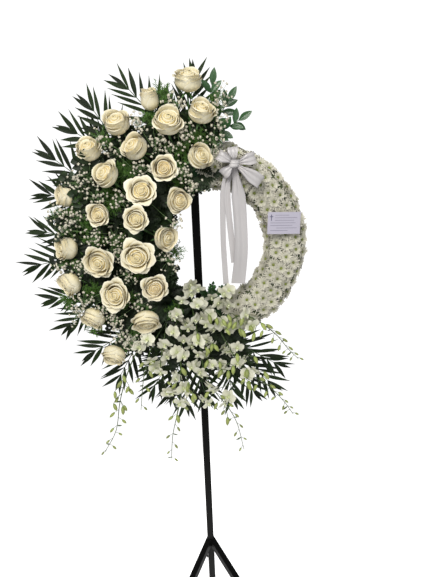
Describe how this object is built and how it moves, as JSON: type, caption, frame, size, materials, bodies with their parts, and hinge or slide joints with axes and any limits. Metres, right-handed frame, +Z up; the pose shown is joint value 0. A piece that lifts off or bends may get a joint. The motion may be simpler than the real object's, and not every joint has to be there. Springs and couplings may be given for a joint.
{
  "type": "funeral wreath",
  "caption": "Standing funeral wreath: roses, palm, fern, baby's breath and orchids on half of a daisy-covered foam ring, with a bow and a card, hung on a steel easel.",
  "frame": {"origin": "middle of the pole's rubber foot, on the floor", "axes": "+Z up the pole; the flowers face -Y; +X is to the right for someone who faces the flowers"},
  "size_m": [0.7963, 0.4759, 1.8335],
  "materials": {
    "black_steel": "satin black paint",
    "black_rubber": "matt",
    "green_plastic": "moulded",
    "floral_foam": "wet fine-celled foam",
    "rose_petals": "soft petal",
    "palm_leaf": "waxy leaf",
    "fern_leaf": "matt leaf",
    "sprig_leaf": "glossy leaf",
    "small_florets": "matt floret",
    "orchid_petals": "soft petal",
    "daisy_petals": "matt petal",
    "satin_ribbon": "satin",
    "card_paper": "matt card"
  },
  "bodies": {
    "root": {"pole": "black_steel", "leg_front_left": "black_steel", "leg_front_right": "black_steel", "leg_rear": "black_steel", "hook": "black_steel", "foot_pole": "black_rubber", "foot_front_left": "black_rubber", "foot_front_right": "black_rubber", "foot_rear": "black_rubber", "tray": "green_plastic", "card_pick": "green_plastic", "foam_ring": "floral_foam", "rose_01": "rose_petals", "rose_02": "rose_petals", "rose_03": "rose_petals", "rose_04": "rose_petals", "rose_05": "rose_petals", "rose_06": "rose_petals", "rose_07": "rose_petals", "rose_08": "rose_petals", "rose_09": "rose_petals", "rose_10": "rose_petals", "rose_11": "rose_petals", "rose_12": "rose_petals", "rose_13": "rose_petals", "rose_14": "rose_petals", "rose_15": "rose_petals", "rose_16": "rose_petals", "rose_17": "rose_petals", "rose_18": "rose_petals", "rose_19": "rose_petals", "rose_20": "rose_petals", "rose_21": "rose_petals", "rose_22": "rose_petals", "rose_23": "rose_petals", "rose_24": "rose_petals", "rose_25": "rose_petals", "palm_top": "palm_leaf", "palm_upper_left": "palm_leaf", "palm_left_upper": "palm_leaf", "palm_left": "palm_leaf", "palm_left_lower": "palm_leaf", "palm_lower_left": "palm_leaf", "palm_bottom": "palm_leaf", "palm_bottom_right": "palm_leaf", "fern_upper": "fern_leaf", "fern_lower": "fern_leaf", "sprig_top": "sprig_leaf", "sprig_low": "sprig_leaf", "breath_top": "small_florets", "breath_left": "small_florets", "breath_low": "small_florets", "orchids_left": "orchid_petals", "orchids_middle": "orchid_petals", "orchids_right": "orchid_petals", "orchids_far_right": "orchid_petals", "daisies_upper": "daisy_petals", "daisies_lower": "daisy_petals", "bow": "satin_ribbon", "card": "card_paper"}
  },
  "joints": []
}
